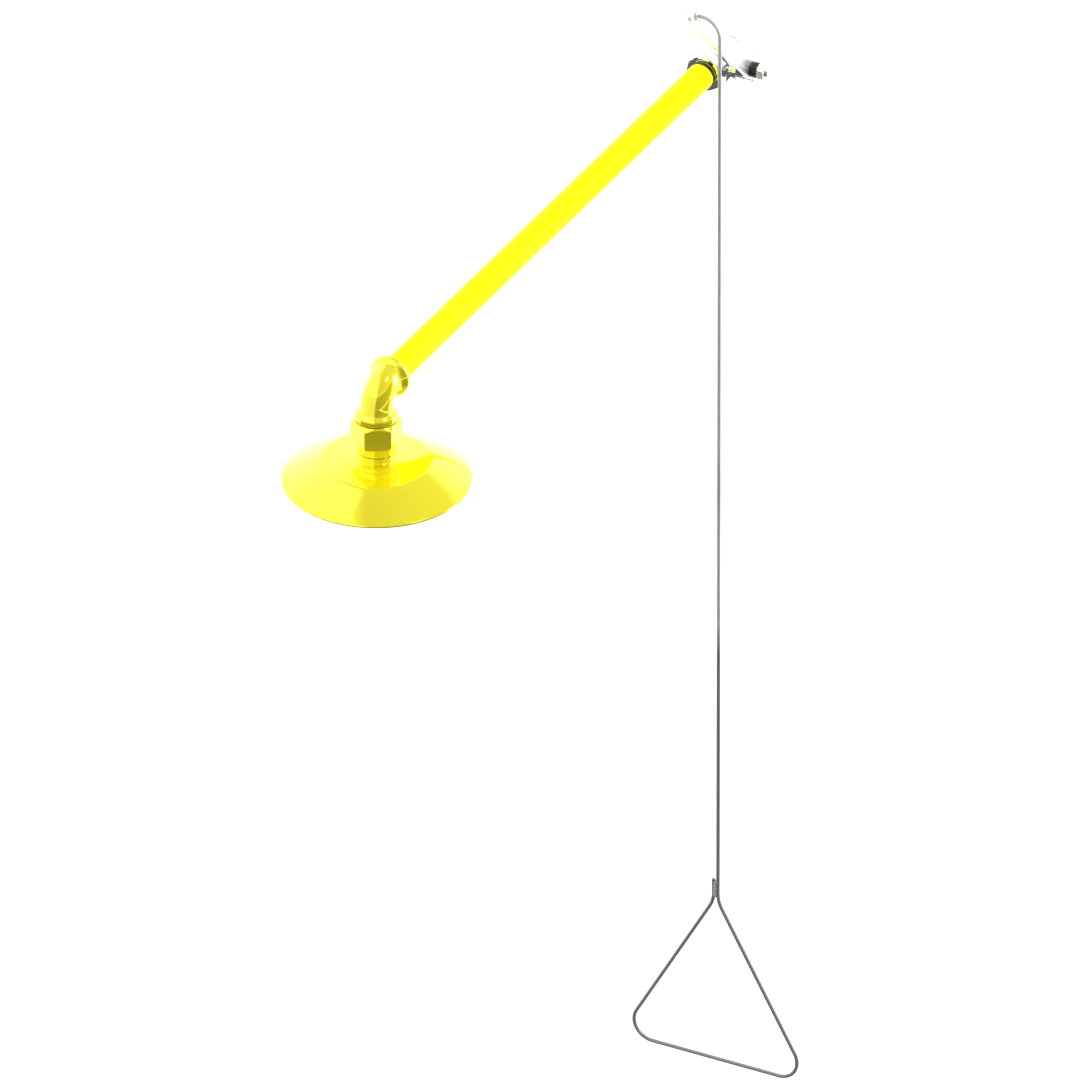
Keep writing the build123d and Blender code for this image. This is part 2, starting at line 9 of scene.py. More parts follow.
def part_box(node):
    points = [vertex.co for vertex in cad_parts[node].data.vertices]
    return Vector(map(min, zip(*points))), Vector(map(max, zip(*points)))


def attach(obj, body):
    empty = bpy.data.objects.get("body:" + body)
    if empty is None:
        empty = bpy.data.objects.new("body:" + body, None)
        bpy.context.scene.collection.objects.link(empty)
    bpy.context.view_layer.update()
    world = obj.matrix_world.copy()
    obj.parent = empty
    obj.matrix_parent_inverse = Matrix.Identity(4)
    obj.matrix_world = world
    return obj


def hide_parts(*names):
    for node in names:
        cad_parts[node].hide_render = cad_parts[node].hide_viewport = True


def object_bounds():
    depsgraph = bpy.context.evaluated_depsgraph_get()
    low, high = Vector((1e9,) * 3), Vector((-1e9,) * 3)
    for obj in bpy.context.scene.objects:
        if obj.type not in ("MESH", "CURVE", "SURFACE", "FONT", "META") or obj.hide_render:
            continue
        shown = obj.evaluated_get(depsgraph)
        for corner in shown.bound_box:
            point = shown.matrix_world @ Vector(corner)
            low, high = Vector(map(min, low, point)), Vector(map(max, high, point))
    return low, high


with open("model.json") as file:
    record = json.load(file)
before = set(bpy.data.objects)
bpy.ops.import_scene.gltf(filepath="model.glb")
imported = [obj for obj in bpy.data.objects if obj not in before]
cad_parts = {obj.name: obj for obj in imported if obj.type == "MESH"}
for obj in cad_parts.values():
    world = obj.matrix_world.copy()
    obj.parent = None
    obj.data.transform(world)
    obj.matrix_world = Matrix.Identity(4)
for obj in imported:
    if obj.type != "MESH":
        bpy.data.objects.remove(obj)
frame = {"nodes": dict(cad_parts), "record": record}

# Looks of an overhead emergency drench shower. Metres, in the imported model's frame: the origin is
# the centre of the valve's inlet mouth, +Y out of the inlet, +X towards the lever, +Z up.
# Small profiles are written in millimetres and scaled by MM where they become meshes.

MM = 0.001
TURN = 2 * math.pi
SHARP_ANGLE = 35          # degrees; edges sharper than this stay crisp
cad_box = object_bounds()

# ------------------------------------------- places read from the frame, and sizes, in millimetres


def placed(name, data):
    """A new object that is linked into the scene."""
    obj = bpy.data.objects.new(name, data)
    bpy.context.scene.collection.objects.link(obj)
    return obj


def low(node):
    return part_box(node)[0] / MM


def high(node):
    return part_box(node)[1] / MM


PIPE_R = high("supply_pipe").x
PIPE_START = -high("supply_pipe").y
PIPE_END = -low("supply_pipe").y
VALVE_END = -low("valve_body").y
BODY_START = -high("valve_body").y
RING_END = -low("valve_joint_sealant").y
ELBOW_CENTRE_Y = (low("head_bell").y + high("head_bell").y) / 2
ELBOW_REACH = high("elbow").y - ELBOW_CENTRE_Y
ELBOW_FACE = -ELBOW_CENTRE_Y - ELBOW_REACH
ELBOW_BAND = 12.0         # straight part at each mouth of the elbow
PIPE_BORE_R = 13.3
PIPE_THREAD_R = 15.75     # pipe end under its thread paste
SOCKET_R = 15.8           # tapped mouth that takes a pipe end
VALVE_BORE_R = 12.5
ADAPTER_TURN = math.radians(-62.07)     # the way one flat of the collar faces, from +X towards -Y
ARM_X = low("lever_arm").x
ARM_TOP_X = high("lever_arm").x
COLLAR_TOP_X = high("lever_collar").x
COLLAR_R = high("lever_collar").z
NUT_LOW_X = low("lever_nut").x
NUT_TOP_X = high("lever_nut").x
STEM_END_X = high("valve_stem").x
STEM_Y = (low("lever_collar").y + high("lever_collar").y) / 2
LEG_Y = (low("pull_rod").y + high("pull_rod").y) / 2
ROD_R = (high("pull_rod").y - low("pull_rod").y) / 2
LEG_Z = high("pull_rod").z - ROD_R
LEG_END_X = 34.5          # where the rod's top leg is cut off
ARM_REACH = math.hypot(LEG_Y - STEM_Y, LEG_Z)
ARM_TILT = math.atan2(LEG_Z, LEG_Y - STEM_Y)
HANDLE_BASE_Z = low("pull_rod").z + ROD_R
RIM_R = high("head_bell").x
LIP_END = -low("head_bell").z
NECK_TOP = -high("head_bell").z

# ---------------------------------------------------------------- camera
CAMERA_AZIMUTH = math.radians(27.93)
CAMERA_ELEVATION = math.radians(31.1)
CAMERA_FACING = CAMERA_AZIMUTH - math.pi / 2      # where the camera stands, seen from above, from +X
CAMERA_TARGET = Vector((-0.0612, -0.3819, -0.5119))
CAMERA_DISTANCE = 58.05
towards_camera = Vector((
    math.sin(CAMERA_AZIMUTH) * math.cos(CAMERA_ELEVATION),
    -math.cos(CAMERA_AZIMUTH) * math.cos(CAMERA_ELEVATION),
    math.sin(CAMERA_ELEVATION)))
camera_data = bpy.data.cameras.new("camera")
camera_data.lens = 1600
camera_data.sensor_width = 36
camera_data.clip_start = 1.0
camera_data.clip_end = 200.0
camera = placed("camera", camera_data)
camera.location = CAMERA_TARGET + towards_camera * CAMERA_DISTANCE
camera.rotation_mode = "QUATERNION"
camera.rotation_quaternion = (-towards_camera).to_track_quat("-Z", "Y")
bpy.context.scene.camera = camera
bpy.context.scene.view_settings.view_transform = "Standard"


# ---------------------------------------------------------------- profiles, in millimetres
def soften(points, radius, closed=True, steps=4):
    """Rounds every corner of a 2-D outline with a short curve."""
    out = []
    count = len(points)
    for i, p in enumerate(points):
        p = Vector(p)
        if not closed and i in (0, count - 1):
            out.append(p)
            continue
        before = Vector(points[i - 1]) - p
        after = Vector(points[(i + 1) % count]) - p
        reach = min(radius, before.length * 0.45, after.length * 0.45)
        if reach < 1e-6:
            out.append(p)
            continue
        start = p + before.normalized() * reach
        end = p + after.normalized() * reach
        for k in range(steps + 1):
            t = k / steps
            out.append((1 - t) ** 2 * start + 2 * t * (1 - t) * p + t * t * end)
    return [tuple(p) for p in out]


def arc(a, b, c, steps):
    """Points on the circle through a, b and c, from a to c."""
    (ax, ay), (bx, by), (cx, cy) = a, b, c
    d = 2 * (ax * (by - cy) + bx * (cy - ay) + cx * (ay - by))
    a_square, b_square, c_square = ax * ax + ay * ay, bx * bx + by * by, cx * cx + cy * cy
    ux = (a_square * (by - cy) + b_square * (cy - ay) + c_square * (ay - by)) / d
    uy = (a_square * (cx - bx) + b_square * (ax - cx) + c_square * (bx - ax)) / d
    radius = math.hypot(ax - ux, ay - uy)
    first = math.atan2(ay - uy, ax - ux)
    middle = math.atan2(by - uy, bx - ux)
    last = math.atan2(cy - uy, cx - ux)
    sweep = (last - first) % TURN
    if (middle - first) % TURN > sweep:
        sweep -= TURN
    angles = [first + sweep * k / steps for k in range(steps + 1)]
    return [(ux + radius * math.cos(angle), uy + radius * math.sin(angle)) for angle in angles]


def soft_min(a, b, k):
    """The smaller of a and b, blended over a width of k where they are nearly equal."""
    h = max(k - abs(a - b), 0) / k
    return min(a, b) - h * h * k / 4


def soft_max(a, b, k):
    return -soft_min(-a, -b, k)


def hexagon(angle, across_flats, first_flat, rounding=0.9):
    """Radius of a hexagon with eased corners; first_flat is the angle that one flat faces."""
    step = TURN / 6
    off = abs((angle - first_flat + step / 2) % step - step / 2)
    half = across_flats / 2
    return soft_min(half / math.cos(off), half / math.cos(step - off), rounding)


def zigzag(turns):
    """Triangle wave from 0 to 1, with a narrow flat on crest and root as on a cut thread."""
    t = abs((turns % 1.0) * 2 - 1)
    return min(max((t - 0.08) / 0.84, 0), 1)


# ---------------------------------------------------------------- meshes
ALONG_PIPE = (Vector((0, 0, 0)), Vector((0, -1, 0)), Vector((1, 0, 0)))
ALONG_STEM = (Vector((0, STEM_Y, 0)), Vector((1, 0, 0)), Vector((0, 1, 0)))
DOWN_HEAD = (Vector((0, ELBOW_CENTRE_Y, 0)), Vector((0, 0, -1)), Vector((1, 0, 0)))


def mesh_object(name, verts, faces, sharp=SHARP_ANGLE):
    """Verts are in millimetres; faces are turned outwards."""
    mesh = bpy.data.meshes.new(name)
    mesh.from_pydata([tuple(v * MM) for v in verts], [], faces)
    work = bmesh.new()
    work.from_mesh(mesh)
    bmesh.ops.remove_doubles(work, verts=work.verts, dist=1e-7)
    bmesh.ops.recalc_face_normals(work, faces=work.faces)
    work.to_mesh(mesh)
    work.free()
    mesh.shade_smooth()
    mesh.set_sharp_from_angle(angle=math.radians(sharp))
    return placed(name, mesh)


def rings_to_faces(count, n, wrap):
    """Quads between count rings of n points; wrap joins last to first, otherwise both ends are capped."""
    faces = []
    for i in range(count if wrap else count - 1):
        j = (i + 1) % count
        for k in range(n):
            m = (k + 1) % n
            faces.append((i * n + k, i * n + m, j * n + m, j * n + k))
    if not wrap:
        faces.append(tuple(range(n)))
        faces.append(tuple((count - 1) * n + k for k in reversed(range(n))))
    return faces


def ring_points(axis, station, radius_at, n):
    """One ring at a station along the axis; angles run from the axis's second direction."""
    origin, along, across = axis
    up = along.cross(across)
    points = []
    for k in range(n):
        a = TURN * k / n
        r = radius_at(a)
        points.append(origin + along * station + across * (r * math.cos(a)) + up * (r * math.sin(a)))
    return points


def turned(name, axis, profile, n=128, wrap=True):
    """Lathe work: profile is (station, radius) pairs; wrap closes it into a hollow ring."""
    verts = []
    for station, radius in profile:
        verts += ring_points(axis, station, lambda a, r=radius: r, n)
    return mesh_object(name, verts, rings_to_faces(len(profile), n, wrap))


def shaped(name, axis, outer, inner, n=240, sharp=SHARP_ANGLE):
    """A hollow piece: outer and inner are (station, radius function of angle) lists, end to end."""
    rings = outer + inner
    verts = []
    for station, radius_at in rings:
        verts += ring_points(axis, station, radius_at, n)
    return mesh_object(name, verts, rings_to_faces(len(rings), n, True), sharp)


def plain(radius):
    return lambda angle: radius


def plain_rings(*profile):
    """Round rings, from (station, radius) pairs."""
    return [(station, plain(radius)) for station, radius in profile]


def steps_between(start, end, pitch):
    """Even stations from start to end, no more than pitch apart."""
    count = max(1, math.ceil(abs(end - start) / pitch))
    return [start + (end - start) * k / count for k in range(count + 1)]


def joined(name, objects):
    """Several closed shells of one casting, as one object."""
    target = objects[0]
    work = bmesh.new()
    for o in objects:
        work.from_mesh(o.data)
    work.to_mesh(target.data)
    work.free()
    for o in objects[1:]:
        bpy.data.objects.remove(o)
    target.data.shade_smooth()
    target.data.set_sharp_from_angle(angle=math.radians(SHARP_ANGLE))
    target.name = name
    return target


def bent_path(corners, radii, straight=25.0, turn=math.radians(4)):
    """Straight runs joined by round bends, as points close enough for a smooth tube."""
    points = [Vector(corners[0])]
    for i in range(1, len(corners) - 1):
        p = Vector(corners[i])
        back = (Vector(corners[i - 1]) - p).normalized()
        ahead = (Vector(corners[i + 1]) - p).normalized()
        bend = math.pi - back.angle(ahead)
        reach = radii[i - 1] * math.tan(bend / 2)
        start = p + back * reach
        centre = p + (back + ahead).normalized() * (radii[i - 1] / math.cos(bend / 2))
        steps = max(3, math.ceil(bend / turn))
        spoke = start - centre
        normal = spoke.cross(p - centre).normalized()
        run = start - points[-1]
        parts = max(1, math.ceil(run.length / straight))
        points += [points[-1] + run * (k / parts) for k in range(1, parts)]
        for k in range(steps + 1):
            points.append(centre + Matrix.Rotation(bend * k / steps, 3, normal) @ spoke)
    run = Vector(corners[-1]) - points[-1]
    parts = max(1, math.ceil(run.length / straight))
    points += [points[-1] + run * (k / parts) for k in range(1, parts + 1)]
    return points


def tube(name, points, radius, n=24, chamfer=0.4, side=Vector((0, 1, 0))):
    """Round bar along a path in a plane whose normal is side, with its cut ends eased."""
    ends = {0: -1, len(points) - 1: 1}
    rings = []
    for i, p in enumerate(points):
        ahead = points[min(i + 1, len(points) - 1)] - points[max(i - 1, 0)]
        ahead.normalize()
        up = side.cross(ahead).normalized()
        if i in ends:
            inward = -ends[i]
            cut = [(p, radius - chamfer), (p + ahead * (inward * chamfer), radius)]
            rings += [(q, r, up) for q, r in (cut if i == 0 else reversed(cut))]
        else:
            rings.append((p, radius, up))
    verts = []
    for p, r, up in rings:
        for k in range(n):
            a = TURN * k / n
            verts.append(p + side * (r * math.cos(a)) + up * (r * math.sin(a)))
    return mesh_object(name, verts, rings_to_faces(len(rings), n, False))


# ---------------------------------------------------------------- materials
def new_material(name, color, metallic, roughness, **sockets):
    """A Principled material; anything the same all over is set on the shader's own socket."""
    mat = bpy.data.materials.new(name)
    mat.use_nodes = True
    shader = mat.node_tree.nodes["Principled BSDF"]
    shader.inputs["Base Color"].default_value = (*color, 1)
    shader.inputs["Metallic"].default_value = metallic
    shader.inputs["Roughness"].default_value = roughness
    for label, value in sockets.items():
        shader.inputs[label.replace("_", " ")].default_value = value
    return mat, mat.node_tree.nodes, mat.node_tree.links, shader


def object_noise(nodes, links, scale, detail=3.0, stretch=(1, 1, 1), roughness=0.5):
    """Noise fixed to the object; stretch below 1 draws it out along that axis."""
    coords = nodes.new("ShaderNodeTexCoord")
    mapping = nodes.new("ShaderNodeMapping")
    mapping.inputs["Scale"].default_value = stretch
    texture = nodes.new("ShaderNodeTexNoise")
    texture.inputs["Scale"].default_value = scale
    texture.inputs["Detail"].default_value = detail
    texture.inputs["Roughness"].default_value = roughness
    links.new(coords.outputs["Object"], mapping.inputs["Vector"])
    links.new(mapping.outputs["Vector"], texture.inputs["Vector"])
    return texture.outputs["Fac"]


def remap(nodes, links, value, from_low, from_high, to_low, to_high):
    node = nodes.new("ShaderNodeMapRange")
    node.inputs["From Min"].default_value = from_low
    node.inputs["From Max"].default_value = from_high
    node.inputs["To Min"].default_value = to_low
    node.inputs["To Max"].default_value = to_high
    links.new(value, node.inputs["Value"])
    return node.outputs["Result"]


def blend_colors(nodes, links, factor, first, second):
    """Mix of two colours, each given as a tuple or as another node's output."""
    node = nodes.new("ShaderNodeMix")
    node.data_type = "RGBA"
    links.new(factor, node.inputs["Factor"])
    for socket, color in ((node.inputs["A"], first), (node.inputs["B"], second)):
        if isinstance(color, tuple):
            socket.default_value = (*color, 1)
        else:
            links.new(color, socket)
    return node.outputs["Result"]


def add_bumps(nodes, links, shader, layers):
    """layers are (height output, strength, distance in metres), from coarse to fine."""
    normal = None
    for height, strength, distance in layers:
        bump = nodes.new("ShaderNodeBump")
        bump.inputs["Strength"].default_value = strength
        bump.inputs["Distance"].default_value = distance
        links.new(height, bump.inputs["Height"])
        if normal is not None:
            links.new(normal, bump.inputs["Normal"])
        normal = bump.outputs["Normal"]
    links.new(normal, shader.inputs["Normal"])


def edge_mask(nodes, links, start, end):
    """0 on flat parts, 1 on raised edges."""
    geometry = nodes.new("ShaderNodeNewGeometry")
    return remap(nodes, links, geometry.outputs["Pointiness"], start, end, 0.0, 1.0)


def combine(nodes, links, operation, a, b):
    node = nodes.new("ShaderNodeMath")
    node.operation = operation
    links.new(a, node.inputs[0])
    links.new(b, node.inputs[1])
    return node.outputs["Value"]


def yellow_paint(name, color, deep, rough_low, rough_high, peel, coat, flake, gloss_level, glow):
    """Powder coat: slow tone drift, orange peel, rub marks, thin wear on sharp edges, and painted light:
    an emission in the paint's own colour, at strength glow, that makes it brighter than the lamps alone
    would.
    """
    mat, nodes, links, shader = new_material(
        name, color, flake, rough_low,
        Coat_Weight=coat, Coat_Roughness=0.04, Specular_IOR_Level=gloss_level)
    # painted light: the paint glows in its own colour at the strength glow, brightening it beyond what the
    # lamps give
    shader.inputs["Emission Color"].default_value = (*color, 1)
    shader.inputs["Emission Strength"].default_value = glow
    drift = remap(nodes, links, object_noise(nodes, links, 9.0, 2.0), 0.35, 0.65, 0.0, 1.0)
    tone = blend_colors(nodes, links, drift, color, deep)
    rubs = remap(nodes, links, object_noise(nodes, links, 160.0, 4.0, (1, 0.12, 1)), 0.66, 0.74, 0.0, 0.35)
    tone = blend_colors(nodes, links, rubs, tone, tuple(c * 0.86 for c in deep))
    chips = remap(nodes, links, object_noise(nodes, links, 420.0, 5.0), 0.60, 0.68, 0.0, 1.0)
    worn = combine(nodes, links, "MULTIPLY", edge_mask(nodes, links, 0.57, 0.66), chips)
    tone = blend_colors(nodes, links, worn, tone, (0.42, 0.36, 0.10))
    links.new(tone, shader.inputs["Base Color"])
    gloss = remap(nodes, links, object_noise(nodes, links, 30.0, 5.0), 0.3, 0.7, rough_low, rough_high)
    links.new(gloss, shader.inputs["Roughness"])
    add_bumps(nodes, links, shader, [
        (object_noise(nodes, links, 45.0, 1.0), 0.10, 0.0008),
        (object_noise(nodes, links, 520.0, 1.5), peel, 0.0003)])
    return mat


def bright_metal(name, color, rough_low, rough_high, scratch, stretch=(1, 1, 1), waviness=0.05):
    """Plated or polished metal: smudges in the gloss, hairline scratches, faint waviness."""
    mat, nodes, links, shader = new_material(name, color, 1.0, rough_low)
    smudge = object_noise(nodes, links, 70.0, 6.0, roughness=0.65)
    links.new(remap(nodes, links, smudge, 0.35, 0.75, rough_low, rough_high), shader.inputs["Roughness"])
    tone = remap(nodes, links, object_noise(nodes, links, 25.0, 3.0), 0.3, 0.7, 0.0, 1.0)
    smudge_and_painted_shade = tuple(c * 0.93 for c in color)
    links.new(blend_colors(nodes, links, tone, color, smudge_and_painted_shade), shader.inputs["Base Color"])
    hairlines = object_noise(nodes, links, 900.0, 2.0, stretch)
    add_bumps(nodes, links, shader, [
        (object_noise(nodes, links, 60.0, 1.0), waviness, 0.0004),
        (hairlines, scratch, 0.00008)])
    return mat


def dull_solid(name, color, deep, metallic, rough_low, rough_high, grain, grain_scale=700.0):
    """Moulded, oxidised or pasted surfaces with a fine grain."""
    mat, nodes, links, shader = new_material(name, color, metallic, rough_low)
    patch = remap(nodes, links, object_noise(nodes, links, 90.0, 4.0), 0.35, 0.65, 0.0, 1.0)
    links.new(blend_colors(nodes, links, patch, color, deep), shader.inputs["Base Color"])
    links.new(remap(nodes, links, object_noise(nodes, links, 200.0, 4.0), 0.3, 0.7, rough_low, rough_high),
              shader.inputs["Roughness"])
    add_bumps(nodes, links, shader, [(object_noise(nodes, links, grain_scale, 3.0), grain, 0.0002)])
    return mat


def rod_steel(name):
    """Drawn stainless bar: fine draw lines, and a lower part painted darker as shade, standing in for the
    darker reflection there.
    """
    # upper is the bar's own colour; lower is the same steel painted darker as shade for the lower part
    upper, lower = (0.47, 0.47, 0.465), (0.21, 0.21, 0.205)
    mat, nodes, links, shader = new_material(name, upper, 0.30, 0.42)
    coords = nodes.new("ShaderNodeTexCoord")
    split = nodes.new("ShaderNodeSeparateXYZ")
    links.new(coords.outputs["Object"], split.inputs["Vector"])
    # painted shade: below z = -0.70 m the colour turns to lower, standing in for the darker reflection on
    # the lower rod
    smudge_and_painted_shade = remap(nodes, links, split.outputs["Z"], -0.70, -0.74, 0.0, 1.0)
    tone = blend_colors(nodes, links, smudge_and_painted_shade, upper, lower)
    stain = remap(nodes, links, object_noise(nodes, links, 60.0, 5.0, (1, 1, 0.15)), 0.55, 0.75, 0.0, 0.4)
    links.new(blend_colors(nodes, links, stain, tone, (0.24, 0.235, 0.23)), shader.inputs["Base Color"])
    links.new(remap(nodes, links, object_noise(nodes, links, 150.0, 4.0), 0.3, 0.7, 0.34, 0.50),
              shader.inputs["Roughness"])
    add_bumps(nodes, links, shader, [
        (object_noise(nodes, links, 1400.0, 2.0, (1, 1, 0.03)), 0.25, 0.00008),
        (object_noise(nodes, links, 260.0, 3.0), 0.08, 0.0001)])
    return mat


def weld_steel(name):
    """Weld bead: bright crests with straw and blue heat tint beside them."""
    mat, nodes, links, shader = new_material(name, (0.45, 0.43, 0.40), 1.0, 0.35)
    tint = remap(nodes, links, object_noise(nodes, links, 260.0, 3.0), 0.35, 0.65, 0.0, 1.0)
    straw, blue = (0.50, 0.44, 0.34), (0.27, 0.29, 0.36)
    links.new(blend_colors(nodes, links, tint, straw, blue), shader.inputs["Base Color"])
    links.new(remap(nodes, links, object_noise(nodes, links, 500.0, 3.0), 0.3, 0.7, 0.25, 0.5),
              shader.inputs["Roughness"])
    add_bumps(nodes, links, shader, [(object_noise(nodes, links, 800.0, 3.0), 0.3, 0.0002)])
    return mat


MATERIALS = {
    "chrome_brass": bright_metal("chrome_brass", (0.86, 0.87, 0.89), 0.04, 0.13, 0.06),
    "ptfe": dull_solid("ptfe", (0.86, 0.86, 0.84), (0.78, 0.78, 0.75), 0.0, 0.35, 0.5, 0.10),
    # painted light: the pipe coat glows at 0.32 in its own yellow, which keeps it bright and flat; the
    # enamel has no glow
    "yellow_pipe_coat": yellow_paint(
        "yellow_pipe_coat", (0.95, 0.95, 0.001), (0.94, 0.92, 0.001), rough_low=0.34, rough_high=0.46,
        peel=0.22, coat=0.0, flake=0.0, gloss_level=0.03, glow=0.32),
    "yellow_enamel": yellow_paint(
        "yellow_enamel", (0.98, 0.87, 0.008), (0.95, 0.83, 0.006), rough_low=0.06, rough_high=0.12,
        peel=0.05, coat=0.8, flake=0.52, gloss_level=0.5, glow=0.0),
    "thread_sealant": dull_solid(
        "thread_sealant", (0.012, 0.011, 0.010), (0.05, 0.045, 0.04), 0.0, 0.4, 0.7, 0.5),
    "black_rubber": dull_solid(
        "black_rubber", (0.02, 0.02, 0.02), (0.035, 0.035, 0.033), 0.0, 0.6, 0.8, 0.25),
    "black_plastic": dull_solid(
        "black_plastic", (0.025, 0.025, 0.026), (0.04, 0.04, 0.04), 0.0, 0.35, 0.5, 0.12),
    "stainless_screw": bright_metal("stainless_screw", (0.62, 0.62, 0.61), 0.18, 0.34, 0.25),
    "stainless_plate": bright_metal(
        "stainless_plate", (0.64, 0.64, 0.63), 0.22, 0.38, 0.35, (0.03, 1, 1), 0.03),
    "chrome_ball": bright_metal("chrome_ball", (0.87, 0.88, 0.90), 0.03, 0.08, 0.03),
    "plain_brass": bright_metal("plain_brass", (0.80, 0.75, 0.64), 0.16, 0.32, 0.2, (0.1, 1, 1)),
    "bright_steel": bright_metal("bright_steel", (0.92, 0.92, 0.92), 0.36, 0.46, 0.12, (1, 0.2, 0.2)),
    "dark_steel": dull_solid(
        "dark_steel", (0.018, 0.018, 0.019), (0.035, 0.032, 0.030), 0.4, 0.28, 0.45, 0.15),
    "nylon": dull_solid("nylon", (0.80, 0.78, 0.72), (0.72, 0.70, 0.63), 0.0, 0.4, 0.55, 0.1),
    "stainless_rod": rod_steel("stainless_rod"),
    "weld_metal": weld_steel("weld_metal"),
}

SLOT_OF = {s["node"]: s["material_slot"] for s in frame["record"]["subparts"]}
BODY_OF = {n: body for body, names in frame["record"]["behaviour"]["bodies"].items() for n in names}


def stands_for(obj, node):
    """obj is the finished form of a CAD node: it rides with that node's body and wears its finish."""
    obj.data.materials.clear()
    obj.data.materials.append(MATERIALS[SLOT_OF[node]])
    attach(obj, BODY_OF[node])
    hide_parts(node)
    return obj


# ---------------------------------------------------------------- threads
THREAD_PITCH = 2.209      # 1 inch taper pipe thread


def pipe_thread(root, depth, station):
    return lambda angle: root + depth * zigzag(station / THREAD_PITCH + angle / TURN)


# ---------------------------------------------------------------- pipe and its joints
PASTE_WIDTH = 0.6         # paste that shows at the elbow's mouth


def supply_pipe():
    end_r, chamfer = 15.2, 0.8
    paste_start = ELBOW_FACE - PASTE_WIDTH
    outer = [(PIPE_START, end_r), (PIPE_START + chamfer, PIPE_THREAD_R), (RING_END, PIPE_THREAD_R)]
    outer += [(RING_END, 16.3), (RING_END + 0.15, PIPE_R - 0.12), (RING_END + 0.6, PIPE_R)]
    outer += [(s, PIPE_R) for s in steps_between(RING_END + 1.5, ELBOW_FACE - 1.5, 30.0)]
    outer += [(ELBOW_FACE - 0.7, PIPE_R), (paste_start, 16.4), (paste_start, PIPE_THREAD_R)]
    outer += [(PIPE_END - chamfer, PIPE_THREAD_R), (PIPE_END, end_r)]
    inner = [(PIPE_END, PIPE_BORE_R), (PIPE_START, PIPE_BORE_R)]
    return turned("pipe_tube", ALONG_PIPE, outer + inner, 160)


def exposed_thread():
    """Cut thread dressed with dark sealing paste, between the valve and the pipe's coating."""
    outer = []
    for s in steps_between(VALVE_END, RING_END, 0.18):
        fade = min(1.0, (RING_END - s) / 1.5 + 0.15)
        outer.append((s, lambda a, s=s, f=fade: pipe_thread(15.85, 0.5 * f, s)(a)
                      + 0.04 * noise.noise(Vector((math.cos(a) * 5, math.sin(a) * 5, s * 1.3)))))
    inner_r = PIPE_THREAD_R + 0.01
    inner = plain_rings((RING_END, inner_r), (VALVE_END, inner_r))
    return shaped("exposed_thread", ALONG_PIPE, outer, inner, 192, 60)


def paste_ring(name, axis, start, end, inner_r, outer_r):
    """A thin squeezed-out line of paste with an uneven edge."""
    outer = []
    for s in steps_between(start, end, (end - start) / 6):
        t = (s - start) / (end - start)
        bulge = 0.35 * math.sin(math.pi * t)
        outer.append((s, lambda a, s=s, b=bulge: outer_r - 0.5 + b
                      + 0.12 * noise.noise(Vector((math.cos(a) * 7, math.sin(a) * 7, s)))))
    return shaped(name, axis, outer, plain_rings((end, inner_r), (start, inner_r)), 160, 60)


def elbow_paste():
    return paste_ring("elbow_paste", ALONG_PIPE, ELBOW_FACE - PASTE_WIDTH, ELBOW_FACE, SOCKET_R, 17.9)


def head_paste():
    return paste_ring("head_paste", DOWN_HEAD, HEX_TOP - 1.0, HEX_TOP, SOCKET_R, 17.3)


# ---------------------------------------------------------------- valve
def valve_body():
    barrel_r = high("valve_body").z
    pad_r, pad_top = 20.5, 34.0
    hex_start = 60.0
    barrel = soften([
        (BODY_START, barrel_r - 2.5), (BODY_START + 2.5, barrel_r), (hex_start - 3.2, barrel_r),
        (hex_start - 0.3, barrel_r - 3.6), (hex_start + 0.2, barrel_r - 3.6)], 1.2, False)

    def barrel_at(s):
        for (s0, r0), (s1, r1) in zip(barrel, barrel[1:]):
            if s <= s1:
                return r0 + (r1 - r0) * max(0, s - s0) / max(s1 - s0, 1e-6)
        return barrel[-1][1]

    def outside(s):
        if s > hex_start:
            cone = 22.6 + (VALVE_END - s) * math.tan(math.radians(60))
            shoulder = 23.6 + (s - hex_start) * 6
            return lambda a: soft_min(soft_min(hexagon(a, 46.0, 0), cone, 0.7), shoulder, 0.8)
        base = barrel_at(s)
        reach = pad_r * pad_r - (s + STEM_Y) ** 2
        if reach <= 0:
            return plain(base)
        half = math.sqrt(reach)

        def radius(a):
            if math.cos(a) <= 0.05:
                return base
            side = half / max(abs(math.sin(a)), 1e-4)
            pad = soft_min(pad_top / math.cos(a), side, 1.6)
            return soft_max(base, pad, 2.2)
        return radius

    outer = [(s, outside(s)) for s in steps_between(BODY_START, VALVE_END, 0.36)]
    socket_foot, seat_back, ball_end, ball_start = 59, 55, 46, 28.5
    seat_r, ball_room_r, end_piece_r = 18.8, 20, 22.05
    inner = plain_rings(
        (VALVE_END, SOCKET_R + 0.6), (VALVE_END - 0.6, SOCKET_R), (socket_foot, SOCKET_R),
        (socket_foot, VALVE_BORE_R), (seat_back, VALVE_BORE_R), (seat_back, seat_r), (ball_end, seat_r),
        (ball_end, ball_room_r), (ball_start, ball_room_r), (ball_start, end_piece_r),
        (BODY_START, end_piece_r))
    shells = [shaped("valve_casting", ALONG_PIPE, outer, inner, 240)]
    stop_r, stop_ring, arm_half = 2.4, 17.6, 12.5
    clear = math.asin((arm_half + stop_r + 0.3) / stop_ring)
    for angle in (ARM_TILT - clear, ARM_TILT + math.pi / 2 + clear):
        axis = (Vector((0, STEM_Y + stop_ring * math.cos(angle), stop_ring * math.sin(angle))),
                Vector((1, 0, 0)), Vector((0, 1, 0)))
        profile = [(26.0, stop_r), (pad_top + 0.2, stop_r + 0.7), (pad_top + 1.2, stop_r)]
        profile += soften([(ARM_TOP_X - 4, stop_r), (ARM_TOP_X, stop_r), (ARM_TOP_X, 0.3)], 0.9, False)
        shells.append(turned("stop", axis, profile, 40, False))
    return joined("valve_casting", shells)


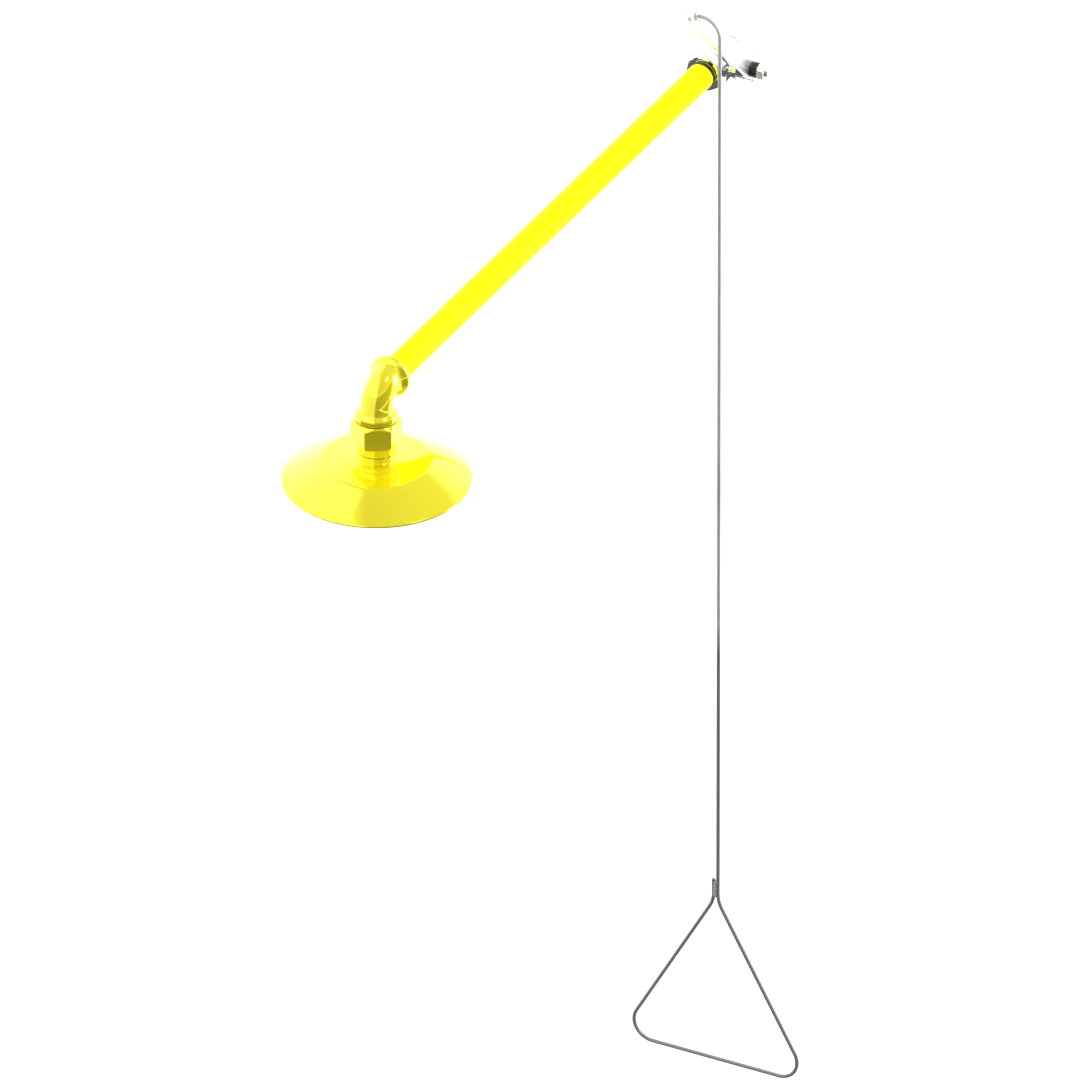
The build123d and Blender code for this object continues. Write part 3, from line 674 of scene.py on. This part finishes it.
def valve_tailpiece():
    flange_r = high("valve_tailpiece").z
    end = -low("valve_tailpiece").y

    def outside(s):
        cone = 21.6 + s * math.tan(math.radians(60))
        return lambda a: soft_min(hexagon(a, 44.0, math.radians(30)), cone, 0.7)
    outer = [(s, outside(s)) for s in steps_between(0.0, 13.8, 0.4)]
    outer += plain_rings(*soften([
        (13.9, 22.6), (14.0, flange_r), (17.0, flange_r), (17.0, 22.0), (end, 22.0)], 0.5, False))
    seat_r, seat_back, thread_foot = 18.8, 21.0, 18.0
    inner = plain_rings((end, seat_r), (seat_back, seat_r), (seat_back, VALVE_BORE_R),
                        (thread_foot, VALVE_BORE_R), (thread_foot, 15.2))
    for s in steps_between(thread_foot, 0.6, 0.2):
        fade = min(1.0, 0.25 + (thread_foot - s) / 3.0)
        inner.append((s, pipe_thread(15.35, 1.15 * fade, s)))
    inner.append((0.0, plain(17.0)))
    return shaped("inlet_end_piece", ALONG_PIPE, outer, inner, 192)


def nut(name, across_flats, start, end, bore, chamfer_start=True):
    """Hexagon nut on the stem's axis, chamfered on its outer face and, if asked, on its inner one."""
    flat = across_flats / 2 * 0.97
    slope = math.tan(math.radians(60))
    ease = 0.6

    def outside(s):
        cone = flat + (end - s) * slope
        if chamfer_start:
            cone = min(cone, flat + (s - start) * slope)
        return lambda a: soft_min(hexagon(a, across_flats, 0.0, 0.5), cone, 0.4)
    outer = [(s, outside(s)) for s in steps_between(start, end, 0.22)]
    inner = plain_rings((end, bore + ease), (end - ease, bore), (start + ease, bore), (start, bore + ease))
    return shaped(name, ALONG_STEM, outer, inner, 180)


def packing_nut():
    """Gland nut, with the spigot that presses on the packing."""
    start, end = 34.0, high("packing_nut").x
    bore, spigot_r, spigot_foot, spigot_top = 7.08, 9.9, 30.5, start + 0.4
    piece = nut("gland_nut", 24.0, start, end, bore, chamfer_start=False)
    spigot = turned("spigot", ALONG_STEM, [
        (spigot_foot, bore), (spigot_foot, spigot_r), (spigot_top, spigot_r), (spigot_top, bore)], 96)
    return joined("gland_nut", [piece, spigot])


def lever_nut():
    return nut("arm_nut", 19.0, NUT_LOW_X, NUT_TOP_X, 5.4)


def valve_stem():
    """Turned stem: shoulder, shank, flats through the arm, threaded end."""
    thread_pitch, points_round = 1.75, 96
    shoulder_r, shoulder_foot, shoulder_top, shank_r, end_r, flat_half = 9.0, 19.9, 22.2, 7.0, 6.0, 4.6
    rings = plain_rings((shoulder_foot, shoulder_r), (shoulder_top, shoulder_r), (shoulder_top, shank_r),
                        (ARM_X, shank_r), (ARM_X, end_r))

    def flats(a):
        across = abs(math.sin(a - ARM_TILT - math.pi / 2))
        return soft_min(end_r, flat_half / max(across, 1e-3), 0.3)
    rings += [(s, flats) for s in steps_between(ARM_X + 0.05, ARM_TOP_X, 1.0)]
    for s in steps_between(ARM_TOP_X, STEM_END_X - 0.9, 0.16):
        rings.append((s, lambda a, s=s: 5.25 + 0.75 * zigzag(s / thread_pitch + a / TURN)))
    rings += plain_rings((STEM_END_X - 0.3, 4.9), (STEM_END_X, 4.4))
    verts = []
    for station, radius_at in rings:
        verts += ring_points(ALONG_STEM, station, radius_at, points_round)
    shank = mesh_object("stem", verts, rings_to_faces(len(rings), points_round, False), 50)
    tang = bmesh.new()
    bmesh.ops.create_cube(tang, size=1.0)
    size = Vector((5.4, 11.0, 6.0)) * MM      # fits the slot in the ball
    place = Matrix.Translation(Vector((17.5, STEM_Y, 0)) * MM) @ Matrix.Diagonal((*size, 1))
    bmesh.ops.transform(tang, matrix=place, verts=tang.verts)
    bmesh.ops.bevel(tang, geom=tang.edges[:], offset=0.4 * MM, segments=2, affect="EDGES")
    mesh = bpy.data.meshes.new("tang")
    tang.to_mesh(mesh)
    tang.free()
    return joined("stem_turned", [shank, placed("tang", mesh)])


def lever_collar():
    bore = 6.05
    outline = soften([
        (ARM_TOP_X, bore), (ARM_TOP_X, COLLAR_R), (COLLAR_TOP_X, COLLAR_R), (COLLAR_TOP_X, bore)], 0.7)
    return turned("arm_collar", ALONG_STEM, outline, 128)


def lever_arm():
    """Flat bar with eased edges, rounded ends, a keyed hub hole and a hole for the rod's bush."""
    thickness = ARM_TOP_X - ARM_X
    half, tail, corner, ease = 12.5, 16.0, 9.0, 0.55
    hub_hole_r, key_half = 6.04, 4.64
    outline = [Vector((half * math.cos(a), half * math.sin(a))) for a in
               (math.pi / 2 + math.pi * k / 40 for k in range(41))]
    for side, first in ((-1, -math.pi / 2), (1, 0.0)):
        middle = Vector((ARM_REACH + tail - corner, side * (half - corner)))
        outline += [middle + Vector((corner * math.cos(first + math.pi / 2 * k / 14),
                                     corner * math.sin(first + math.pi / 2 * k / 14))) for k in range(15)]
    bush_r = 4.03
    bush_hole = [Vector((ARM_REACH + bush_r * math.cos(TURN * k / 48), bush_r * math.sin(TURN * k / 48)))
                 for k in range(48)]
    key_hole = []
    for k in range(64):
        a = TURN * k / 64
        r = min(hub_hole_r, key_half / max(abs(math.cos(a)), 1e-3))
        key_hole.append(Vector((r * math.cos(a), r * math.sin(a))))
    curve = bpy.data.curves.new("arm", "CURVE")
    curve.dimensions = "2D"
    curve.fill_mode = "BOTH"
    curve.extrude = thickness / 2 - ease
    curve.bevel_depth = ease
    curve.bevel_resolution = 3
    curve.offset = -ease
    for loop in (outline, bush_hole, key_hole):
        spline = curve.splines.new("POLY")
        spline.points.add(len(loop) - 1)
        for point, p in zip(spline.points, loop):
            point.co = (p.x, p.y, 0, 1)
        spline.use_cyclic_u = True
    holder = bpy.data.objects.new("arm_curve", curve)
    mesh = bpy.data.meshes.new_from_object(holder)
    bpy.data.objects.remove(holder)
    along = Vector((0, math.cos(ARM_TILT), math.sin(ARM_TILT)))
    out = Vector((1, 0, 0))
    across = out.cross(along)
    origin = Vector((ARM_X + thickness / 2, STEM_Y, 0))
    verts = [origin + along * v.co.x + across * v.co.y + out * v.co.z for v in mesh.vertices]
    faces = [tuple(p.vertices) for p in mesh.polygons]
    return mesh_object("arm_bar", verts, faces, 30)


# ---------------------------------------------------------------- elbow and head
HEX_TOP, HEX_END = 40.4, 70.0         # the adapter's hexagon
NECK_R = 24.0


def elbow():
    """Banded malleable elbow: rings carried round its centre line, with a faint parting ridge."""
    band_r = high("elbow").x
    body_r = 19.5
    bend_r = ELBOW_REACH - ELBOW_BAND
    arc_length = bend_r * math.pi / 2
    total = arc_length + 2 * ELBOW_BAND
    half = soften([
        (0, band_r - 1.4), (1.2, band_r), (7.6, band_r), (11.4, body_r + 1.6),
        (16.5, body_r)], 2.0, False, 8)
    half = [(0.0, 16.6), (0.0, band_r - 2.6)] + half
    groove = [(2.0, band_r), (2.1, band_r - 1.1), (2.8, band_r - 1.1), (2.9, band_r)]
    lip = [(s, r) for s, r in half if s < 1.95]
    outer = lip + groove + [(s, r) for s, r in half if s > 2.95]
    outer += [(s, body_r) for s in steps_between(18.0, total - 18.0, 2.0)]
    outer += [(total - s, r) for s, r in reversed(half)]
    socket_r, socket_depth, mouth = SOCKET_R + 0.05, 17, 0.8
    far_depth = total - socket_depth
    inner = [(total - mouth, socket_r), (far_depth, socket_r), (far_depth, PIPE_BORE_R)]
    inner += [(s, PIPE_BORE_R) for s in steps_between(total - 18, 18, 3.0)]
    inner += [(socket_depth, PIPE_BORE_R), (socket_depth, socket_r), (mouth, socket_r)]

    def station(s):
        """Point and direction on the centre line, from the pipe's side to the head's side."""
        corner = Vector((0, ELBOW_CENTRE_Y + bend_r, -bend_r))
        if s <= ELBOW_BAND:
            return Vector((0, ELBOW_CENTRE_Y + ELBOW_REACH - s, 0)), Vector((0, -1, 0))
        if s >= total - ELBOW_BAND:
            return Vector((0, ELBOW_CENTRE_Y, -ELBOW_REACH + total - s)), Vector((0, 0, -1))
        a = (s - ELBOW_BAND) / bend_r
        spoke = Vector((0, -math.sin(a), math.cos(a)))
        return corner + spoke * bend_r, Vector((0, -math.cos(a), -math.sin(a)))

    n = 240
    verts = []
    for index, (s, r) in enumerate(outer + inner):
        p, ahead = station(s)
        side = Vector((1, 0, 0))
        up = ahead.cross(side)
        for k in range(n):
            a = TURN * k / n
            q = p + side * (r * math.cos(a)) + up * (r * math.sin(a))
            if index < len(outer) and r > 17:
                grow = 0.10 * noise.noise(q * 0.13) + 0.05 * noise.noise(q * 0.4)
                grow += 0.16 * math.exp(-(r * math.cos(a) / 0.9) ** 2)
                q = p + (q - p) * ((r + grow) / r)
            verts.append(q)
    return mesh_object("elbow_casting", verts, rings_to_faces(len(outer + inner), n, True), 40)


def head_adapter():
    """Threaded nipple, hexagon and round collar in one; depths are measured down from the pipe's axis."""
    top, end, bore, tail_r = 23.4, 95.5, 11.0, 15.0

    def hexed(d):
        cone = 26.4 + (d - HEX_TOP) * 1.16
        foot = 30.4 + (HEX_END - d) * 1.5
        return lambda a: soft_min(soft_min(hexagon(a, 55.0, ADAPTER_TURN, 1.2), cone, 1.0), foot, 0.8)
    outer = plain_rings((top, 15.2), (top + 0.8, PIPE_THREAD_R), (HEX_TOP, PIPE_THREAD_R))
    outer += [(d, hexed(d)) for d in steps_between(HEX_TOP, HEX_END, 0.5)]
    outer += plain_rings(*soften([
        (HEX_END, 24.6), (HEX_END + 0.4, NECK_R), (NECK_TOP - 1, NECK_R), (NECK_TOP - 1, tail_r),
        (end, tail_r)], 0.5, False, 6))
    inner = plain_rings((end, bore), (top, bore))
    return shaped("hex_collar", DOWN_HEAD, outer, inner, 240)


def head_bell():
    """Tapered hub, crown, crease, shallow dome, rolled lip, ledge, bosses and the bored neck inside."""
    crease_r, crease, hub_foot_r, blend = 67.0, 98.8, 21.5, 3.0
    hub_taper, crown_top, neck_bore = 90.0, 95.0, 15.06
    dome_r, dome_end = RIM_R - 1.4, LIP_END - 3.6
    ledge_r, seat_r, ledge = 109.0, 104.6, 120.9
    inner_neck_r, inner_neck_end, web_r, web_top = 22.0, 105.0, 10.0, 102.0
    slope = (crease - crown_top) / (crease_r - hub_foot_r)
    crease_start = (crease_r - blend, crease - blend * slope)
    crease_end = (crease_r + blend, crease + 0.36 * blend)
    profile = soften([
        (neck_bore, NECK_TOP), (NECK_R, NECK_TOP), (NECK_R, hub_taper), (hub_foot_r, crown_top),
        crease_start], 1.2, False, 8)
    profile += arc(crease_start, (crease_r, crease + 0.17), crease_end, 14)[1:]
    dome_middle = ((crease_r + dome_r) / 2 + 0.6, (crease + dome_end) / 2 - 1.2)
    profile += arc(crease_end, dome_middle, (dome_r, dome_end), 48)[1:]
    profile += arc((dome_r, dome_end), (RIM_R, LIP_END - 2.0), (dome_r + 0.3, LIP_END), 12)[1:]
    profile += soften([
        (dome_r - 0.2, LIP_END), (ledge_r, LIP_END), (ledge_r, ledge), (seat_r, ledge)], 0.5, False)
    profile += arc((seat_r, ledge), (85.8, 111.0), (crease_r, 102.4), 24)[1:]
    profile += soften([
        (60.0, 101.8), (inner_neck_r, 98.6), (inner_neck_r, inner_neck_end), (web_r, inner_neck_end),
        (web_r, web_top), (neck_bore, web_top), (neck_bore, NECK_TOP + 0.6)], 0.6, False)
    shells = [turned("bell", DOWN_HEAD, [(d, r) for r, d in profile], 288)]
    bosses, boss_circle, boss_r, hole_r = 6, 97, 5.2, 1.95
    boss = [(115.6, boss_r), (121.7, boss_r), (121.7, hole_r), (116.5, hole_r)]
    origin, down, across = DOWN_HEAD
    for k in range(bosses):
        a = TURN * k / bosses
        middle = origin + Vector((boss_circle * math.cos(a), boss_circle * math.sin(a), 0))
        shells.append(turned("boss", (middle, down, across), boss, 40))
    return joined("bell_shell", shells)


# ---------------------------------------------------------------- pull rod
ROD_X = 78.0
PAIR_GAP = 6.0
HANDLE_SIDE = 260.0
FREE_END_Z = high("handle_weld").z + 2.0


def pull_rod():
    """Bar from the arm's bush, down, round the triangle and up again beside itself."""
    half = HANDLE_SIDE / 2
    apex_z = HANDLE_BASE_Z + HANDLE_SIDE * math.sqrt(3) / 2
    middle = ROD_X - PAIR_GAP / 2
    corners = [(LEG_END_X, LEG_Z), (ROD_X, LEG_Z), (ROD_X, apex_z), (middle + half, HANDLE_BASE_Z),
               (middle - half, HANDLE_BASE_Z), (ROD_X - PAIR_GAP, apex_z), (ROD_X - PAIR_GAP, FREE_END_Z)]
    path = bent_path([(x, LEG_Y, z) for x, z in corners], [24.0, 40.0, 25.0, 25.0, 40.0])
    return tube("rod_bar", path, ROD_R, 32)


def handle_weld():
    """Rippled bead that closes the triangle, lying in the groove between shank and free end."""
    top, foot = high("handle_weld").z, low("handle_weld").z
    middle_x = (low("handle_weld").x + high("handle_weld").x) / 2
    length = top - foot
    points_round = 40
    half_width, half_thickness = 3.2, 2.55
    stations = steps_between(foot, top, 0.25)
    verts = []
    for z in stations:
        t = (z - foot) / length
        swell = math.sqrt(max(0.02, 1 - (2 * t - 1) ** 8))
        ripple = 1 + 0.05 * math.cos(TURN * (z - foot) / 1.5)
        for k in range(points_round):
            a = TURN * k / points_round
            across = math.copysign(math.sqrt(abs(math.cos(a))), math.cos(a))
            out = math.copysign(math.sqrt(abs(math.sin(a))), math.sin(a))
            wobble = 1 + 0.06 * noise.noise(Vector((math.cos(a) * 1.5, math.sin(a) * 1.5, z * 0.35)))
            verts.append(Vector((middle_x + half_width * swell * wobble * across,
                                 LEG_Y + half_thickness * swell * ripple * wobble * out,
                                 z + 0.35 * math.sin(a) ** 2)))
    return mesh_object("weld_bead", verts, rings_to_faces(len(stations), points_round, False), 60)


def cotter_pin():
    """One wire folded into an eye, through the leg, with its tails spread."""
    x = LEG_END_X + 3.5
    wire, gap = 0.42, 0.45
    eye_z, eye_r = LEG_Z + 5.0, 1.75
    corners = [(-2.6, -8.4), (-gap, -5.4), (-gap, 3.3)]
    points = bent_path([(x, LEG_Y + y, LEG_Z + z) for y, z in corners], [3.0], 2.0, math.radians(8))
    opening = math.asin(gap / eye_r)
    for k in range(25):
        a = -math.pi / 2 - opening - (TURN - 2 * opening) * k / 24
        points.append(Vector((x, LEG_Y + eye_r * math.cos(a), eye_z + eye_r * math.sin(a))))
    corners = [(gap, 3.3), (gap, -5.0), (2.9, -8.8)]
    points += bent_path([(x, LEG_Y + y, LEG_Z + z) for y, z in corners], [3.0], 2.0, math.radians(8))
    return tube("cotter", points, wire, 14, 0.12, Vector((1, 0, 0)))


# ---------------------------------------------------------------- put the pieces in place
FINISHED = {              # CAD node: what makes its finished form
    "supply_pipe": supply_pipe,
    "valve_joint_sealant": exposed_thread,
    "elbow_joint_sealant": elbow_paste,
    "head_joint_sealant": head_paste,
    "elbow": elbow,
    "head_adapter": head_adapter,
    "head_bell": head_bell,
    "valve_body": valve_body,
    "valve_tailpiece": valve_tailpiece,
    "packing_nut": packing_nut,
    "valve_stem": valve_stem,
    "lever_arm": lever_arm,
    "lever_collar": lever_collar,
    "lever_nut": lever_nut,
    "pull_rod": pull_rod,
    "handle_weld": handle_weld,
    "cotter_pin": cotter_pin,
}
for node_name, make in FINISHED.items():
    stands_for(make(), node_name)
for node_name, node in frame["nodes"].items():
    if node_name not in FINISHED:
        node.data.materials.clear()
        node.data.materials.append(MATERIALS[SLOT_OF[node_name]])


# ---------------------------------------------------------------- studio
STAGE_Y = -0.45
FLOOR_Z = cad_box[0].z - 0.9
CARD_HALF = math.radians(86)
WORLD_LEVEL = 0.95
right = Vector((math.cos(CAMERA_AZIMUTH), math.sin(CAMERA_AZIMUTH), 0))
front = Vector((towards_camera.x, towards_camera.y, 0)).normalized()
above = Vector((0, 0, 1))


def stage_disc(name, radius, z, color, glow, start=0.0, sweep=TURN, n=96):
    """Flat disc, or a sector of one, centred under the object."""
    centre = Vector((0, STAGE_Y, z))
    whole = sweep >= TURN
    angles = [start + sweep * k / n for k in range(n if whole else n + 1)]
    verts = [centre + Vector((radius * math.cos(a), radius * math.sin(a), 0)) for a in angles]
    if not whole:
        verts.append(centre)
    mesh = bpy.data.meshes.new(name)
    mesh.from_pydata([tuple(v) for v in verts], [], [tuple(range(len(verts)))])
    obj = placed(name, mesh)
    mat, _, _, shader = new_material(name, color, 0.0, 0.9)
    shader.inputs["Emission Color"].default_value = (1, 1, 1, 1)
    shader.inputs["Emission Strength"].default_value = glow
    mesh.materials.append(mat)
    return obj


def clear_from_below(obj):
    """Lets the object be looked at from underneath: the floor's lower side is see-through."""
    tree = obj.data.materials[0].node_tree
    output = tree.nodes["Material Output"]
    mix = tree.nodes.new("ShaderNodeMixShader")
    tree.links.new(tree.nodes.new("ShaderNodeNewGeometry").outputs["Backfacing"], mix.inputs[0])
    tree.links.new(tree.nodes["Principled BSDF"].outputs[0], mix.inputs[1])
    tree.links.new(tree.nodes.new("ShaderNodeBsdfTransparent").outputs[0], mix.inputs[2])
    tree.links.new(mix.outputs[0], output.inputs["Surface"])


clear_from_below(stage_disc("floor", 14.0, FLOOR_Z, (0.30, 0.30, 0.30), 1.05))
card = stage_disc("dark_card", 9.0, FLOOR_Z + 0.02, (0.08, 0.08, 0.08), 0.0,
                  CAMERA_FACING - CARD_HALF, 2 * CARD_HALF, 64)
card.visible_camera = False


def softbox(name, target, direction, distance, size, radiance):
    """Area light that faces the target from a direction; its power follows from size and radiance."""
    light = bpy.data.lights.new(name, "AREA")
    light.shape = "RECTANGLE"
    light.size, light.size_y = size
    light.energy = radiance * math.pi * size[0] * size[1]
    obj = placed(name, light)
    away = direction.normalized()
    obj.location = target + away * distance
    obj.rotation_mode = "QUATERNION"
    obj.rotation_quaternion = (-away).to_track_quat("-Z", "Y")
    obj.visible_camera = False


elbow_centre = Vector((0, ELBOW_CENTRE_Y * MM, 0))
softbox("right_strip", elbow_centre, right * 0.968 - front * 0.153 + above * 0.211, 3.0, (0.50, 1.9), 30.0)
softbox("high_panel", elbow_centre, right * 0.50 + front * 0.17 + above * 0.85, 3.0, (0.5, 0.7), 6.0)


def studio_world():
    """White surroundings: bright left and back walls, a dimmer ceiling, a dark wall behind the camera."""
    world = bpy.data.worlds.new("studio")
    bpy.context.scene.world = world
    world.use_nodes = True
    nodes, links = world.node_tree.nodes, world.node_tree.links
    coords = nodes.new("ShaderNodeTexCoord")

    def along(axis):
        dot = nodes.new("ShaderNodeVectorMath")
        dot.operation = "DOT_PRODUCT"
        dot.inputs[1].default_value = axis
        links.new(coords.outputs["Generated"], dot.inputs[0])
        return dot.outputs["Value"]

    def ramp(value, start, end, low_level, high_level):
        return remap(nodes, links, value, start, end, low_level, high_level)

    def times(a, b):
        return combine(nodes, links, "MULTIPLY", a, b)

    up, side, ahead = along(above), along(right), along(front)
    left_wall = times(ramp(side, -0.12, -0.22, 0.0, 0.9), ramp(up, 0.962, 0.975, 1.0, 0.0))
    high_up = ramp(up, 0.54, 0.60, 0.0, 1.0)
    right_ceiling = times(high_up, ramp(side, -0.22, -0.12, 0.0, 0.36))
    below_ceiling = times(ramp(up, 0.60, 0.66, 1.0, 0.0), ramp(side, -0.22, -0.12, 0.0, 1.0))
    back_wall = times(ramp(ahead, -0.20, -0.34, 0.0, 0.7), below_ceiling)
    dark_wall = times(ramp(ahead, 0.05, 0.14, 0.0, 0.75), ramp(up, 0.42, 0.50, 1.0, 0.0))
    brighter = combine(nodes, links, "ADD", left_wall, back_wall)
    darker = combine(nodes, links, "ADD", right_ceiling, dark_wall)
    level = combine(nodes, links, "SUBTRACT", brighter, darker)
    background = nodes["Background"]
    background.inputs["Color"].default_value = (1, 1, 1, 1)
    links.new(ramp(level, -1.0, 2.0, WORLD_LEVEL - 1.0, WORLD_LEVEL + 2.0), background.inputs["Strength"])


studio_world()
